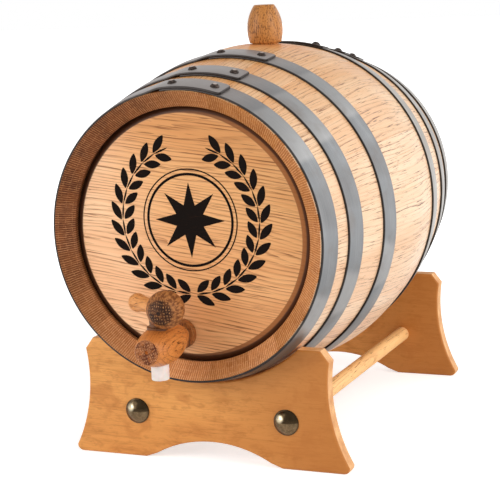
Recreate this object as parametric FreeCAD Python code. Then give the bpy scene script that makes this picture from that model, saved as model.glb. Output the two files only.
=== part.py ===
"""Small oak cask with a turned wooden tap, lying on a cradle of two plates and two rods.

Units are millimetres.  +X is the cask's right seen from the tap, +Y runs from the tap to the
rear, +Z is up.  The shapes are drawn about the cask's middle and moved at the end, so that the
origin is on the table under the middle of the whole outfit.

Long curves are set out and then cut in short straight runs, as a template for a lathe
or a drawknife is, so that meshes made from the solids stay light.
"""
import FreeCAD
import Part
import math
import os

V = FreeCAD.Vector
os.makedirs("parts", exist_ok=True)

# ---------------------------------------------------------------- driving dimensions, cask
cask_length = 255.0
chime_radius = 87.0             # outside, at each end
bilge_radius = 107.2            # of the curve of the staves' backs, at the fattest place
stave_curve = 1.35              # power of that curve: 2 is close to an arc, less is more peaked
stave_thickness = 11.5
stave_widths = (1.15, 0.90, 1.05, 0.85, 1.05)   # relative, repeated round the cask
width_cycle_count = 4
hollow_runs = 3                 # straight runs along the inside of a stave
belly_flat = 13.0               # from the middle to the end of the flat run under the bung
belly_margin = 4.0              # from a bilge hoop to the bend of the staves' backs beyond it
chime_bevel = 9.0               # depth of the slope on the inside of each end
axis_height = 144.5

# ---------------------------------------------------------------- driving dimensions, heads
head_recess = 11.5
head_face_radius = 72.0
head_bevel = 3.5
tongue_thickness = 4.5
croze_depth = 3.0
tongue_clearance = 0.1
head_clearance = 0.3            # between a head's bevel and the staves
middle_board_width = 52.0

# ---------------------------------------------------------------- driving dimensions, hoops
hoop_width = 16.0
hoop_thickness = 1.2
hoop_seat = 0.1                 # between a hoop and the staves
head_hoop_edge = 1.2            # from the cask's end to the hoop's near edge
quarter_hoop_edge = 29.8
bilge_hoop_edge = 72.2
rivet_spacing = 27.0
lap_offset = 8.0                # middle of the lap, to the right of the top
lap_overhang = 5.0              # strip beyond each rivet
lap_clip = 4.0                  # clipped corners of the strip's end
lap_ramp = 12.0
lap_root = 0.3                  # depth to which the lap is rooted in the strip
rivet_head_radius = 2.6
rivet_top_radius = 1.6
rivet_head_height = 1.5

# ---------------------------------------------------------------- driving dimensions, bung
bung_offset = 5.0               # to the right of the top
bung_plug_radius = 8.6          # under the knob
bung_taper = 0.075              # loss of radius for each millimetre down
bung_neck = 0.3                 # plug seen between the stave and the knob
bung_plug_length = 19.0
bung_base_radius = 10.2
bung_belly_radius = 11.5
bung_belly_height = 10.2
bung_top_radius = 6.5
bung_height = 24.4
bung_clearance = 0.05
bung_runs = 4

# ---------------------------------------------------------------- driving dimensions, tap
tap_drop = 60.7                 # from the cask's axis down to the tap's
tap_offset = -8.85              # to the left of the middle
tap_reach = 49.05               # from the head's face to the nose
tap_collar_radius = 9.1
tap_collar_length = 4.5
tap_groove_radius = 6.2
tap_groove_length = 3.0
tap_shoulder_radius = 7.0
tap_belly_radius = 12.2
tap_belly_place = 29.3
tap_belly_runs = 4
tap_nose_radius = 7.2
tap_nose_bevel = 0.7
tap_tail_radius = 7.6
tap_tail_taper = 0.03
tap_tail_length = 22.0
tail_clearance = 0.05
passage_radius = 2.3
key_place = 32.9                # from the head's face to the key's axis
key_radius = 5.9                # at the height of the passage
key_taper = 0.042
key_clearance = 0.05
key_neck_radius = 4.8
key_stub_radius = 3.5
stub_clearance = 0.05           # round the stub and the neck in the handle
spout_drop = 20.1               # from the tap's axis to the spout's mouth
spout_start = 13.0              # from the tap's axis to where the taper ends
spout_radius = 5.3
spout_bore_radius = 3.2
spout_bevel = 0.8
handle_height = 23.5            # above the tap's axis
handle_angle = 61.0             # of the handle from straight ahead
handle_ball_place = 9.3         # from the key's axis to the ball's middle
handle_ball_radius = 11.3
handle_flat_radius = 4.0        # of the small flat on the ball's end
handle_tail_reach = 25.5        # from the key's axis to the knob's tip
handle_tail_radius = 5.65
handle_waist_radius = 4.4
handle_waist_flare = 0.8        # growth of the waist where it meets the ball and the knob
handle_ball_runs = 6
handle_tail_runs = 3
neck_drop = 6.4                 # from the handle's axis down to the top of the key's neck
stub_rise = 2.0                 # from the handle's axis up to the top of the key's stub

# ---------------------------------------------------------------- driving dimensions, cradle
plate_thickness = 9.5
rear_plate_inset = 5.5          # from the cask's rear end to the plate's middle
cradle_clearance = 0.3
foot_overhang = 6.0             # of the feet beyond the cask's ends at each side
foot_inner_edge = 46.4
foot_corner = 4.0
arch_offset = 3.0               # the arch and the rods stand right of the middle
arch_half_width = 38.6
arch_spring = 2.8
arch_height = 13.0
waist_half_width = 80.8
waist_ratio = 0.72              # of the horns' height
horn_half_width = 82.2
horn_drop = 76.2                # from the cask's axis down to the horns' clipped corners
horn_top_half_width = 76.8
horn_top_drop = 69.2
rod_spread = 100.8              # between the rods' axes
rod_height = 29.8
rod_radius = 5.0
rod_socket = 5.0
socket_clearance = 0.05
cap_radius = 8.1
cap_height = 3.8
cap_rim = 0.7
cap_runs = 2

# ---------------------------------------------------------------- places worked out from these
half_length = cask_length / 2
foot_half_width = chime_radius + foot_overhang
stave_count = len(stave_widths) * width_cycle_count
head_face = half_length - head_recess
tongue_front = head_face - head_bevel
head_back = tongue_front - tongue_thickness
key_y = -(head_face + key_place)
head_hoop_far = half_length - head_hoop_edge - hoop_width
quarter_hoop_near = half_length - quarter_hoop_edge
quarter_hoop_far = quarter_hoop_near - hoop_width
bilge_hoop_near = half_length - bilge_hoop_edge
bilge_hoop_far = bilge_hoop_near - hoop_width
front_plate_middle = -(head_hoop_far + quarter_hoop_near) / 2
rear_plate_middle = half_length - rear_plate_inset
rear_outside = rear_plate_middle + plate_thickness / 2
plate_spacing = rear_plate_middle - front_plate_middle
tap_height = axis_height - tap_drop
horn_height = axis_height - horn_drop
horn_top_height = axis_height - horn_top_drop
waist_height = horn_height * waist_ratio

# Where the runs of the staves' backs meet: between the hoops, so that each hoop has a flat seat.
back_breaks = (
    half_length,
    (head_hoop_far + quarter_hoop_near) / 2,
    (quarter_hoop_far + bilge_hoop_near) / 2,
    bilge_hoop_far - belly_margin,
    belly_flat,
)


def handle_front():
    """How far the handle's ball stands ahead of the key's axis."""
    return handle_ball_place * math.cos(math.radians(handle_angle)) + handle_ball_radius


front_end = -head_face - max(tap_reach, key_place + handle_front())
rear_end = rear_outside + cap_height
frame_shift = -(front_end + rear_end) / 2


def curve_height(place, end_place, end_radius, middle_radius):
    """Radius at a place along a curve that peaks in the middle of the cask."""
    return middle_radius - (middle_radius - end_radius) * abs(place / end_place) ** stave_curve


def outer_curve(place):
    """Radius of the curve that the staves' backs are set out on."""
    return curve_height(place, half_length, chime_radius, bilge_radius)


def inner_radius(place):
    """Inside radius of the staves: one stave's thickness in from the outside."""
    bevel_end = half_length - chime_bevel
    bevel_radius = outer_curve(bevel_end) - stave_thickness
    return curve_height(place, bevel_end, bevel_radius, bilge_radius - stave_thickness)


def outer_radius(place):
    """Outside radius of the staves, on the straight run that holds the place."""
    distance = min(abs(place), half_length)
    far = max([end for end in back_breaks if end <= distance], default=-back_breaks[-1])
    near = min(end for end in back_breaks if end >= distance)
    if near == far:
        return outer_curve(near)
    share = (near - distance) / (near - far)
    return outer_curve(near) + (outer_curve(far) - outer_curve(near)) * share


croze_radius = inner_radius((tongue_front + head_back) / 2) + croze_depth


def line(start, end):
    """Straight edge."""
    return Part.makeLine(start, end)


def arc(start, middle, end):
    """Circular edge through three points."""
    return Part.Arc(start, middle, end).toShape()


def polygon_face(points):
    """Flat face inside straight sides."""
    return Part.Face(Part.makePolygon(list(points) + [points[0]]))


def arc_points(start, middle, end, runs):
    """Points that part the circular arc through three points in equal runs."""
    curve = Part.Arc(start, middle, end)
    first = curve.FirstParameter
    step = (curve.LastParameter - first) / runs
    return [curve.value(first + step * number) for number in range(runs + 1)]


def dome_points(radius, height, lift, runs):
    """Points along a round-topped dome in the XZ plane, from its rim to its top on the Z axis."""
    bend = (radius ** 2 + height ** 2) / (2 * height)
    opening = math.asin(min(1.0, radius / bend))
    points = []
    for number in range(runs + 1):
        angle = opening * (1 - number / runs)
        points.append(V(bend * math.sin(angle), 0, lift + height - bend * (1 - math.cos(angle))))
    return points


def side_point(place, radius):
    """Point of a section along the cask: place along the axis, radius upwards."""
    return V(0, place, radius)


def cask_turned(points):
    """Solid turned about the cask's axis from a section with straight sides."""
    return polygon_face(points).revolve(V(0, 0, 0), V(0, 1, 0), 360)


def upright_turned(points):
    """Solid turned about the upright axis; the section lies in the XZ plane."""
    return polygon_face(points).revolve(V(0, 0, 0), V(0, 0, 1), 360)


def moved(shape, x, y, z):
    """Copy of a shape, moved."""
    copy = shape.copy()
    copy.translate(V(x, y, z))
    return copy


def spun(shape, axis, angle):
    """Copy of a shape, turned about an axis through the origin."""
    copy = shape.copy()
    copy.rotate(V(0, 0, 0), axis, angle)
    return copy


def raised(shape):
    """Lift a shape drawn about the cask's axis to the cask's height."""
    return moved(shape, 0, 0, axis_height)


def export(name, shape):
    """Write one piece, moved so that the origin is under the middle of the outfit."""
    moved(shape, 0, frame_shift, 0).exportStep("parts/" + name + ".step")


# ---------------------------------------------------------------- staves
def end_section():
    """Inside of a stave's rear end, from the croze out to the tip of the chime."""
    bevel_end = half_length - chime_bevel
    croze_inner = head_back - tongue_clearance
    croze_outer = tongue_front + tongue_clearance
    return [
        side_point(croze_inner, inner_radius(croze_inner)),
        side_point(croze_inner, croze_radius),
        side_point(croze_outer, croze_radius),
        side_point(croze_outer, inner_radius(croze_outer)),
        side_point(bevel_end, inner_radius(bevel_end)),
    ]


def stave_profile():
    """Lengthwise section of a stave, with a bevelled chime and a croze at each end."""
    rear_back = [side_point(place, outer_curve(place)) for place in back_breaks]
    front_back = [V(0, -point.y, point.z) for point in reversed(rear_back)]
    rear_inside = end_section()
    front_inside = [V(0, -point.y, point.z) for point in reversed(rear_inside)]
    hollow_end = rear_inside[0].y
    hollow = []
    for number in range(1, hollow_runs):
        place = -hollow_end + 2 * hollow_end * number / hollow_runs
        hollow.append(side_point(place, inner_radius(place)))
    return polygon_face(rear_back + front_back + front_inside + hollow + rear_inside)


def stave_spans():
    """Start angle and width of each stave, the first one centred under the bung."""
    share = 360.0 / (sum(stave_widths) * width_cycle_count)
    widths = [width * share for width in stave_widths * width_cycle_count]
    start = math.degrees(math.asin(bung_offset / bilge_radius)) - widths[0] / 2
    spans = []
    for width in widths:
        spans.append((start, width))
        start += width
    return spans


def bung_seat():
    """Height over the cask's axis of the underside of the bung's knob."""
    return outer_radius(0) + bung_neck


def bung_cone(radius, bottom):
    """Tapered plug on the bung's axis, from the knob down; the radius is given under the knob."""
    top = bung_seat()
    bottom_radius = radius - (top - bottom) * bung_taper
    return Part.makeCone(bottom_radius, radius, top - bottom, V(bung_offset, 0, bottom))


def make_staves():
    """Staves with joints that point at the cask's axis; the top one is bored for the bung."""
    profile = stave_profile()
    bore_bottom = bung_seat() - 2 * stave_thickness
    bore = bung_cone(bung_plug_radius + bung_clearance, bore_bottom)
    for number, (start, width) in enumerate(stave_spans()):
        section = spun(profile, V(0, 1, 0), start)
        stave = section.revolve(V(0, 0, 0), V(0, 1, 0), width)
        name = "stave_{:02d}".format(number + 1)
        if number == 0:
            stave = stave.cut(bore)
            name = "bung_stave"
        export(name, raised(stave))


# ---------------------------------------------------------------- heads
def head_disc():
    """Round head at the front: bevelled face, and a tongue round its back that fills the croze."""
    rim = croze_radius - tongue_clearance
    return cask_turned([
        side_point(-head_face, 0),
        side_point(-head_face, head_face_radius),
        side_point(-tongue_front, inner_radius(tongue_front) - head_clearance),
        side_point(-tongue_front, rim),
        side_point(-head_back, rim),
        side_point(-head_back, 0),
    ])


def make_heads():
    """Each head is three boards glued edge to edge; the front one takes the tap's tail."""
    size = 2 * croze_radius
    edge = middle_board_width / 2
    boards = (("lower", -size, -edge), ("middle", -edge, edge), ("upper", edge, size))
    disc = head_disc()
    bored = disc.cut(moved(tap_tail(tail_clearance), 0, 0, -axis_height))
    for name, low, high in boards:
        strip = Part.makeBox(2 * size, 2 * size, high - low, V(-size, -size - half_length, low))
        rear_board = spun(disc.common(strip), V(0, 0, 1), 180)
        export("front_head_" + name + "_board", raised(bored.common(strip)))
        export("rear_head_" + name + "_board", raised(rear_board))


# ---------------------------------------------------------------- hoops
def hoop_line(near, far, place):
    """Height over the cask's axis of the straight inner face of a hoop."""
    near_height = outer_radius(near) + hoop_seat
    far_height = outer_radius(far) + hoop_seat
    share = (place - near) / (far - near)
    return near_height + (far_height - near_height) * share


def hoop_section(near, far, bottom, top, trim=0.0):
    """Section of a strip on the hoop's slope, between two heights over its inner face."""
    first = near + trim
    last = far - trim
    return [
        side_point(first, hoop_line(near, far, first) + bottom),
        side_point(last, hoop_line(near, far, last) + bottom),
        side_point(last, hoop_line(near, far, last) + top),
        side_point(first, hoop_line(near, far, first) + top),
    ]


def section_wire(points, angle):
    """Closed outline of a strip's section, turned to its place round the cask."""
    wire = Part.makePolygon(points + [points[0]])
    return spun(wire, V(0, 1, 0), angle)


def hoop_lap(near, far):
    """Outer end of the strip: a ramp over the inner end, a straight run and a clipped tip."""
    radius = outer_radius((near + far) / 2)
    degrees = 180 / (math.pi * radius)
    reach = rivet_spacing / 2 + lap_overhang
    first = (lap_offset - reach) * degrees
    last = (lap_offset + reach) * degrees
    ramp_foot = hoop_section(near, far, lap_root, hoop_thickness)
    full = hoop_section(near, far, lap_root, 2 * hoop_thickness)
    tip = hoop_section(near, far, lap_root, 2 * hoop_thickness, lap_clip)
    ramp_start = section_wire(ramp_foot, first - lap_ramp * degrees)
    ramp = Part.makeLoft([ramp_start, section_wire(full, first)], True, True)
    face = Part.Face(section_wire(full, first))
    run = face.revolve(V(0, 0, 0), V(0, 1, 0), last - first)
    clip = [section_wire(full, last), section_wire(tip, last + lap_clip * degrees)]
    return ramp.fuse([run, Part.makeLoft(clip, True, True)])


def set_rivets(near, far):
    """The two rivets of a hoop, standing on its lap."""
    middle = (near + far) / 2
    degrees = 180 / (math.pi * outer_radius(middle))
    slope = math.degrees(math.atan2(hoop_line(near, far, far) - hoop_line(near, far, near), far - near))
    rivet = Part.makeCone(rivet_head_radius, rivet_top_radius, rivet_head_height)
    rivet = spun(moved(rivet, 0, 0, 2 * hoop_thickness), V(1, 0, 0), slope)
    rivet = moved(rivet, 0, middle, hoop_line(near, far, middle))
    sides = (lap_offset - rivet_spacing / 2, lap_offset + rivet_spacing / 2)
    return [raised(spun(rivet, V(0, 1, 0), side * degrees)) for side in sides]


def make_hoops():
    """Three strip hoops at each end, each lapped at the top and held by two rivets."""
    edges = {"head": head_hoop_edge, "quarter": quarter_hoop_edge, "bilge": bilge_hoop_edge}
    rivets = []
    for kind, edge in edges.items():
        for end, side in (("front", -1), ("rear", 1)):
            outside = half_length - edge
            near, far = sorted([side * outside, side * (outside - hoop_width)])
            band = cask_turned(hoop_section(near, far, 0, hoop_thickness))
            hoop = band.fuse(hoop_lap(near, far)).removeSplitter()
            export(end + "_" + kind + "_hoop", raised(hoop))
            rivets += set_rivets(near, far)
    export("hoop_rivets", Part.makeCompound(rivets))


# ---------------------------------------------------------------- bung
def make_bung():
    """Turned bung: a barrel-shaped knob on a tapered plug."""
    base = bung_seat()
    top = base + bung_height
    knob_base = V(bung_base_radius, 0, base)
    belly = V(bung_belly_radius, 0, base + bung_belly_height)
    knob_top = V(bung_top_radius, 0, top)
    knob = [V(0, 0, base)] + arc_points(knob_base, belly, knob_top, bung_runs) + [V(0, 0, top)]
    plug = bung_cone(bung_plug_radius, base - bung_plug_length)
    export("bung", raised(moved(upright_turned(knob), bung_offset, 0, 0).fuse(plug)))


# ---------------------------------------------------------------- tap
def tap_point(place, radius):
    """Point of the tap's section: place ahead of the head's face, radius upwards."""
    return V(0, -head_face - place, radius)


def at_tap(shape):
    """Move a shape drawn about the cask's axis to the tap's axis."""
    return moved(shape, tap_offset, 0, tap_height)


def at_key(shape):
    """Move a shape drawn about the upright axis to the key's axis."""
    return moved(shape, tap_offset, key_y, tap_height)


def tap_tail(clearance):
    """Tapered tail of the tap, or the hole that it is driven into."""
    front = tap_tail_radius + clearance
    back = front - tap_tail_length * tap_tail_taper
    tail = Part.makeCone(front, back, tap_tail_length, V(0, -head_face, 0), V(0, 1, 0))
    return at_tap(tail)


def key_cone(radius, low, high):
    """Tapered plug on the key's axis; the radius is given at the height of the passage."""
    low_radius = radius + low * key_taper
    high_radius = radius + high * key_taper
    return Part.makeCone(low_radius, high_radius, high - low, V(0, 0, low))


def make_tap_body():
    """Turned tap body: collar, groove, long belly and bevelled nose, bored for flow and key."""
    groove_end = tap_collar_length + tap_groove_length
    shoulder = tap_point(groove_end, tap_shoulder_radius)
    belly = tap_point(tap_belly_place, tap_belly_radius)
    rim = tap_point(tap_reach - tap_nose_bevel, tap_nose_radius + tap_nose_bevel)
    section = [
        tap_point(0, 0),
        tap_point(0, tap_collar_radius),
        tap_point(tap_collar_length, tap_collar_radius),
        tap_point(tap_collar_length, tap_groove_radius),
        tap_point(groove_end, tap_groove_radius),
    ]
    section += arc_points(shoulder, belly, rim, tap_belly_runs)
    section += [tap_point(tap_reach, tap_nose_radius), tap_point(tap_reach, 0)]
    body = at_tap(cask_turned(section)).fuse(tap_tail(0))
    passage_length = tap_tail_length + key_place
    passage = at_tap(Part.makeCylinder(passage_radius, passage_length, V(0, key_y, 0), V(0, 1, 0)))
    reach = 2 * tap_belly_radius
    key_bore = at_key(key_cone(key_radius + key_clearance, -reach, reach))
    export("tap_body", body.cut([passage, key_bore]))


def key_direction():
    """Direction of the handle's ball end at rest, seen from above."""
    angle = math.radians(handle_angle)
    return V(math.sin(angle), -math.cos(angle), 0)


def make_tap_key():
    """Hollow plastic key: tapered plug with a side port, a spout below and a stub on top."""
    top = tap_belly_radius
    plug = key_cone(key_radius, -spout_start, top)
    mouth = -spout_drop
    spout_length = spout_drop - spout_start
    tube = Part.makeCylinder(spout_radius, spout_length, V(0, 0, mouth))
    rim = [edge for edge in tube.Edges if edge.BoundBox.ZMax < mouth + spout_bevel]
    tube = tube.makeChamfer(spout_bevel, rim)
    neck = Part.makeCylinder(key_neck_radius, handle_height - neck_drop - top, V(0, 0, top))
    stub = Part.makeCylinder(key_stub_radius, handle_height + stub_rise - top, V(0, 0, top))
    key = plug.fuse([tube, neck, stub])
    port = Part.makeCylinder(passage_radius, 2 * key_radius, V(0, 0, 0), key_direction() * -1)
    shaft = Part.makeCylinder(passage_radius, spout_drop, V(0, 0, mouth))
    bore = Part.makeCylinder(spout_bore_radius, spout_length, V(0, 0, mouth))
    export("tap_key", at_key(key.cut([port, shaft, bore])))


def round_end(centre, radius, way, tip_radius, joint_radius):
    """Three points of a ball's outline: near its tip, at its side and where it meets the waist."""
    tip = centre + way * math.sqrt(radius ** 2 - tip_radius ** 2)
    joint = centre - way * math.sqrt(radius ** 2 - joint_radius ** 2)
    return V(0, tip, tip_radius), V(0, centre, radius), V(0, joint, joint_radius)


def handle_section():
    """Half outline of the handle: a large ball with a small flat, a waist and a small knob."""
    joint = handle_waist_radius + handle_waist_flare
    ball_centre = -handle_ball_place
    knob_centre = handle_tail_reach - handle_tail_radius
    ball = round_end(ball_centre, handle_ball_radius, -1, handle_flat_radius, joint)
    knob = round_end(knob_centre, handle_tail_radius, 1, 0, joint)
    waist = V(0, (ball[2].y + knob[2].y) / 2, handle_waist_radius)
    section = [V(0, ball[0].y, 0)]
    section += arc_points(*ball, handle_ball_runs)
    section += arc_points(ball[2], waist, knob[2], handle_tail_runs)[1:]
    section += arc_points(knob[2], knob[1], knob[0], handle_tail_runs)[1:]
    return section


def make_tap_handle():
    """Turned handle, bored from below for the key's neck and, more narrowly, for its stub."""
    bar = moved(spun(cask_turned(handle_section()), V(0, 0, 1), handle_angle), 0, 0, handle_height)
    foot = handle_height - 2 * handle_ball_radius
    neck_top = handle_height - neck_drop + stub_clearance
    stub_top = handle_height + stub_rise + stub_clearance
    neck_radius = key_neck_radius + stub_clearance
    stub_radius = key_stub_radius + stub_clearance
    neck_hole = Part.makeCylinder(neck_radius, neck_top - foot, V(0, 0, foot))
    stub_hole = Part.makeCylinder(stub_radius, stub_top - foot, V(0, 0, foot))
    export("tap_handle", at_key(bar.cut([neck_hole, stub_hole])))


# ---------------------------------------------------------------- cradle
def rod_place(side):
    """Where a rod stands across the cradle: side is -1 on the left and 1 on the right."""
    return arch_offset + side * rod_spread / 2


def plate_outline(cradle_radius):
    """Outline of a cradle plate in the XZ plane: feet, arch, waist, clipped horns and cradle."""
    horn_reach = math.sqrt(cradle_radius ** 2 - (axis_height - horn_top_height) ** 2)
    bend = foot_corner * (1 - math.sqrt(0.5))
    arch_start = V(arch_offset - arch_half_width, 0, arch_spring)
    arch_end = V(arch_offset + arch_half_width, 0, arch_spring)
    edges = [arc(arch_start, V(arch_offset, 0, arch_height), arch_end)]
    for side in (1, -1):
        inner_edge = V(arch_offset + side * foot_inner_edge, 0, 0)
        foot = V(side * (foot_half_width - foot_corner), 0, 0)
        corner = V(side * (foot_half_width - bend), 0, bend)
        heel = V(side * foot_half_width, 0, foot_corner)
        waist = V(side * waist_half_width, 0, waist_height)
        horn = V(side * horn_half_width, 0, horn_height)
        horn_top = V(side * horn_top_half_width, 0, horn_top_height)
        edges += [
            line(V(arch_offset + side * arch_half_width, 0, arch_spring), inner_edge),
            line(inner_edge, foot),
            arc(foot, corner, heel),
            arc(heel, waist, horn),
            line(horn, horn_top),
            line(horn_top, V(side * horn_reach, 0, horn_top_height)),
        ]
    low = V(0, 0, axis_height - cradle_radius)
    edges.append(arc(V(horn_reach, 0, horn_top_height), low, V(-horn_reach, 0, horn_top_height)))
    return Part.Face(Part.Wire(Part.sortEdges(edges)[0]))


def make_plate(name, middle, cradle_radius, outward):
    """One cradle plate, with a blind socket for each rod."""
    plate = plate_outline(cradle_radius).extrude(V(0, plate_thickness, 0))
    plate = moved(plate, 0, middle - plate_thickness / 2, 0)
    inner_face = middle - outward * plate_thickness / 2
    for side in (-1, 1):
        foot = V(rod_place(side), inner_face, rod_height)
        depth = rod_socket + socket_clearance
        radius = rod_radius + socket_clearance
        plate = plate.cut(Part.makeCylinder(radius, depth, foot, V(0, outward, 0)))
    export(name, plate)


def make_cradle():
    """Both plates, each cut to the cask's size at its own place, and the rods between them."""
    front_edge = front_plate_middle + plate_thickness / 2
    front_radius = outer_radius(front_edge) + cradle_clearance
    rear_edge = max(rear_plate_middle - plate_thickness / 2, head_hoop_far)
    rear_radius = outer_radius(rear_edge) + hoop_seat + hoop_thickness + cradle_clearance
    make_plate("front_cradle_plate", front_plate_middle, front_radius, -1)
    make_plate("rear_cradle_plate", rear_plate_middle, rear_radius, 1)
    rod_length = plate_spacing - plate_thickness + 2 * rod_socket
    rod_start = front_plate_middle + plate_thickness / 2 - rod_socket
    for name, side in (("left_rod", -1), ("right_rod", 1)):
        foot = V(rod_place(side), rod_start, rod_height)
        export(name, Part.makeCylinder(rod_radius, rod_length, foot, V(0, 1, 0)))


def make_caps():
    """Domed caps with a thin rim, one outside each plate at the end of each rod."""
    section = [V(0, 0, 0), V(cap_radius, 0, 0), V(cap_radius, 0, cap_rim)]
    section += dome_points(cap_radius - cap_rim, cap_height - cap_rim, cap_rim, cap_runs)
    cap = upright_turned(section)
    caps = []
    for face, outward in ((front_plate_middle - plate_thickness / 2, -1), (rear_outside, 1)):
        for side in (-1, 1):
            turned = spun(cap, V(1, 0, 0), -90 * outward)
            caps.append(moved(turned, rod_place(side), face, rod_height))
    export("rod_caps", Part.makeCompound(caps))


make_staves()
make_heads()
make_hoops()
make_bung()
make_tap_body()
make_tap_key()
make_tap_handle()
make_cradle()
make_caps()
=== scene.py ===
# %% [markdown]
# # A small oak cask on its cradle
# The cask is real cooperage in small: bent staves, two heads, six strip hoops, a turned bung and a
# turned tap.  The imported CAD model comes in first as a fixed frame.  Every piece made here takes its
# place from that frame, rides on one of its bodies and stands for one of its nodes.

# %% Load the frame
import math

import bmesh
import bpy
from mathutils import Matrix, Vector


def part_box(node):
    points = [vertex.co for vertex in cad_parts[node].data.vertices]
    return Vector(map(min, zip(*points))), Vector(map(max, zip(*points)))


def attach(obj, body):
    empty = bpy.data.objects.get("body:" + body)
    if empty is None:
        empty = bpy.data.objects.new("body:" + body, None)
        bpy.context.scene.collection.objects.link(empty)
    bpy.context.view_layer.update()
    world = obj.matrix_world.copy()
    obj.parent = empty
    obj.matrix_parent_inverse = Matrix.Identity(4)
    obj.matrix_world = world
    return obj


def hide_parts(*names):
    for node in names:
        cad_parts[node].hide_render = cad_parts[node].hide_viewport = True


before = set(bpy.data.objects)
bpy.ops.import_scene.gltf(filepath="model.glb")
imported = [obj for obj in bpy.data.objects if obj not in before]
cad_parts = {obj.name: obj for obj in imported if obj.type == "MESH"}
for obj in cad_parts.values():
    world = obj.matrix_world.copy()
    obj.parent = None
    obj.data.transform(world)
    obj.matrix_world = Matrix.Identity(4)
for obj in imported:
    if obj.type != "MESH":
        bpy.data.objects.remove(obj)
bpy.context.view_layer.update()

# %% [markdown]
# ## Places
# Lengths are given in millimetres and turned into metres where points are made, because a cooper's
# sizes read best that way.  The cask's middle, the tap's axis and the cradle's plates are read from the
# boxes of the CAD nodes, so the pieces follow the frame.

# %% Places read from the frame
mm = 0.001


def middle(node):
    """Middle of a CAD node's box, in millimetres."""
    low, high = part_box(node)
    return (low + high) / (2 * mm)


def half_size(node):
    """Half the sides of a CAD node's box, in millimetres."""
    low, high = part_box(node)
    return (high - low) / (2 * mm)


axis_height = middle("front_head_middle_board").z
cask_middle = middle("bung_stave").y
half_length = half_size("bung_stave").y
key_x, key_y = middle("tap_key").xy
tap_height = middle("tap_body").z
head_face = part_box("front_head_middle_board")[0].y / mm
bung_x, bung_y = middle("bung").xy
print("cask middle", round(cask_middle, 2), "axis", round(axis_height, 2), "half", round(half_length, 2))

# %% [markdown]
# ## Tools for shapes
# Most of the pieces are turned on a lathe, and so is their mesh: a profile is drawn as a wire, its
# corners are eased with a vertex bevel, and `spin` carries it round.  The doubles on the axis are merged
# and the normals are recalculated, because a spin can come out inside out.

# %% Profiles, turning and finishing
sharp_angle = math.radians(32)


def arc_run(start, through, end, runs):
    """Points along the circle through three points of a profile, both ends included."""
    (ax, ay), (bx, by), (cx, cy) = start, through, end
    twice = 2 * (ax * (by - cy) + bx * (cy - ay) + cx * (ay - by))
    a, b, c = ax * ax + ay * ay, bx * bx + by * by, cx * cx + cy * cy
    centre = Vector((a * (by - cy) + b * (cy - ay) + c * (ay - by),
                     a * (cx - bx) + b * (ax - cx) + c * (bx - ax)))
    centre /= twice
    first, mid, last = [math.atan2(y - centre.y, x - centre.x) for x, y in (start, through, end)]
    turn = (last - first) % math.tau
    if (mid - first) % math.tau > turn:
        turn -= math.tau
    radius = (Vector(start) - centre).length
    angles = [first + turn * number / runs for number in range(runs + 1)]
    return [(centre.x + radius * math.cos(angle), centre.y + radius * math.sin(angle)) for angle in angles]


def turned(profile, steps=96, ease=0.0, closed=False):
    """Shape turned about the Z axis from (radius, height) points in millimetres."""
    bm = bmesh.new()
    wire = [bm.verts.new((radius * mm, 0, height * mm)) for radius, height in profile]
    pairs = list(zip(wire, wire[1:])) + ([(wire[-1], wire[0])] if closed else [])
    for pair in pairs:
        bm.edges.new(pair)
    if ease:
        corners = [vert for vert in wire if len(vert.link_edges) == 2 and bend(vert) > sharp_angle]
        rounded(bm, corners, ease, 3, "VERTICES")
    bmesh.ops.spin(bm, geom=bm.verts[:] + bm.edges[:], cent=(0, 0, 0), axis=(0, 0, 1), angle=math.tau,
                   steps=steps, use_merge=True)
    bmesh.ops.remove_doubles(bm, verts=bm.verts, dist=1e-6)
    bmesh.ops.recalc_face_normals(bm, faces=bm.faces)
    return bm


def rounded(bm, geom, size, segments, affect="EDGES", **more):
    """Bevel edges or corners by a size in millimetres."""
    bmesh.ops.bevel(bm, geom=geom, offset=size * mm, offset_type="OFFSET", segments=segments, profile=0.5,
                    affect=affect, material=-1, **more)


def bend(vert):
    """Angle by which a wire turns at one of its points."""
    first, second = [(edge.other_vert(vert).co - vert.co).normalized() for edge in vert.link_edges]
    return math.pi - first.angle(second)


def placed(bm, x, y, z, pitch=0.0, yaw=0.0):
    """Tilt a shape by degrees about X, turn it about Z and carry it to its place in millimetres."""
    turn = Matrix.Rotation(math.radians(yaw), 4, "Z") @ Matrix.Rotation(math.radians(pitch), 4, "X")
    bm.transform(Matrix.Translation(Vector((x, y, z)) * mm) @ turn)
    return bm


def eased(bm):
    """Smooth faces, with every real corner kept sharp."""
    for face in bm.faces:
        face.smooth = True
    for edge in bm.edges:
        edge.smooth = edge.is_manifold and edge.calc_face_angle(0) < sharp_angle
    return bm


def as_object(name, bm, materials=()):
    """Mesh object of a finished shape."""
    mesh = bpy.data.meshes.new(name)
    bm.normal_update()
    bm.to_mesh(mesh)
    bm.free()
    piece = bpy.data.objects.new(name, mesh)
    bpy.context.scene.collection.objects.link(piece)
    for material in materials:
        mesh.materials.append(material)
    return piece


def gather(whole, bm):
    """Add one shape to the shape that holds them all."""
    mesh = bpy.data.meshes.new("shape")
    bm.to_mesh(mesh)
    bm.free()
    whole.from_mesh(mesh)
    bpy.data.meshes.remove(mesh)


def eased_again(piece):
    """Smooth faces and sharp corners once more, after a piece was bored."""
    bm = bmesh.new()
    bm.from_mesh(piece.data)
    eased(bm).to_mesh(piece.data)
    bm.free()


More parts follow.
